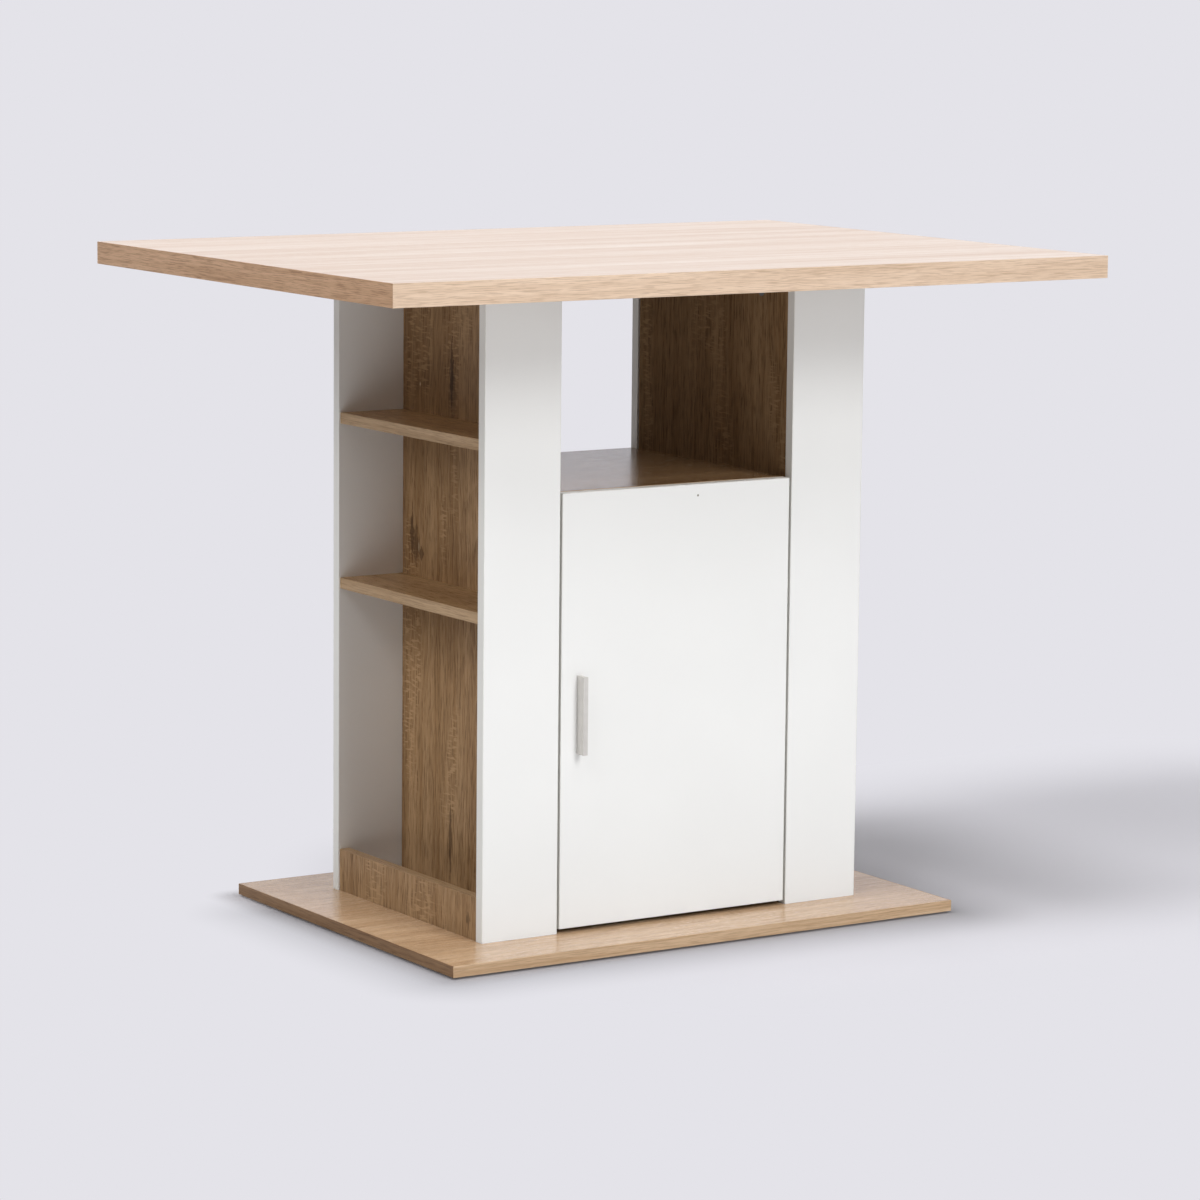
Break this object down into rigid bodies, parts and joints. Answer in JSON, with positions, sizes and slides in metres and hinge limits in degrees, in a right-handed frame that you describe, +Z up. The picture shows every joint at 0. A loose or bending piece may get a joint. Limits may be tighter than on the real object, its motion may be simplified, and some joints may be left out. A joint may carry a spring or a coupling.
{
  "type": "kitchen island",
  "caption": "Free-standing kitchen island: a wide wood-grain worktop on a storage body with side niches, an open compartment and a hinged-door cabinet, standing on a thin base plate.",
  "frame": {"origin": "on the floor under the middle of the worktop, at the glides' undersides", "axes": "+Z up, +X along the worktop's length to the right seen from the front, +Y towards the back; the door is on the front, -Y"},
  "size_m": [1.1, 0.8, 0.9],
  "materials": {
    "light_oak": "matte foil with a pale oak grain on particle board",
    "oak_board": "matte foil with an oak grain on particle board",
    "oak_edging": "matte edge band with an oak grain",
    "white_board": "white melamine with a fine satin grain on particle board",
    "beech": "plain turned beech",
    "zinc_steel": "zinc-plated",
    "nickel_steel": "nickel-plated pressed sheet",
    "satin_aluminium": "satin anodised profile",
    "grey_plastic": "matte moulded plastic",
    "soft_plastic": "soft milky plastic"
  },
  "bodies": {
    "carcass": {"table_top": "light_oak", "top_long_edge_bands": "oak_edging", "top_short_edge_bands": "oak_edging", "base_plate": "light_oak", "base_long_edge_bands": "oak_edging", "base_short_edge_bands": "oak_edging", "floor_glides": "grey_plastic", "front_left_stile": "white_board", "front_right_stile": "white_board", "back_left_stile": "white_board", "back_right_stile": "white_board", "left_side_panel": "oak_board", "right_side_panel": "oak_board", "left_upper_shelf": "oak_board", "left_lower_shelf": "oak_board", "right_upper_shelf": "oak_board", "right_lower_shelf": "oak_board", "shelf_edge_bands": "oak_edging", "left_rail": "oak_board", "right_rail": "oak_board", "cabinet_top": "oak_board", "cabinet_back": "white_board", "cabinet_shelf": "oak_board", "shelf_pins": "zinc_steel", "dowels": "beech", "cam_bolts": "zinc_steel", "cam_housings": "zinc_steel", "base_screws": "zinc_steel", "upper_hinge_plate": "nickel_steel", "lower_hinge_plate": "nickel_steel", "hinge_plate_screws": "zinc_steel", "upper_hinge_arm": "nickel_steel", "lower_hinge_arm": "nickel_steel", "hinge_arm_screws": "zinc_steel"},
    "door_leaf": {"door": "white_board", "upper_hinge_cup": "nickel_steel", "lower_hinge_cup": "nickel_steel", "hinge_cup_screws": "zinc_steel", "hinge_pins": "zinc_steel", "handle": "satin_aluminium", "handle_screws": "zinc_steel", "door_bumpers": "soft_plastic"}
  },
  "joints": [
    {"name": "door_hinge", "type": "hinge", "parent": "carcass", "child": "door_leaf", "pos_m": [0.1705, -0.191, 0.3125], "axis": [0, 0, 1], "range_deg": [0, 95]}
  ]
}
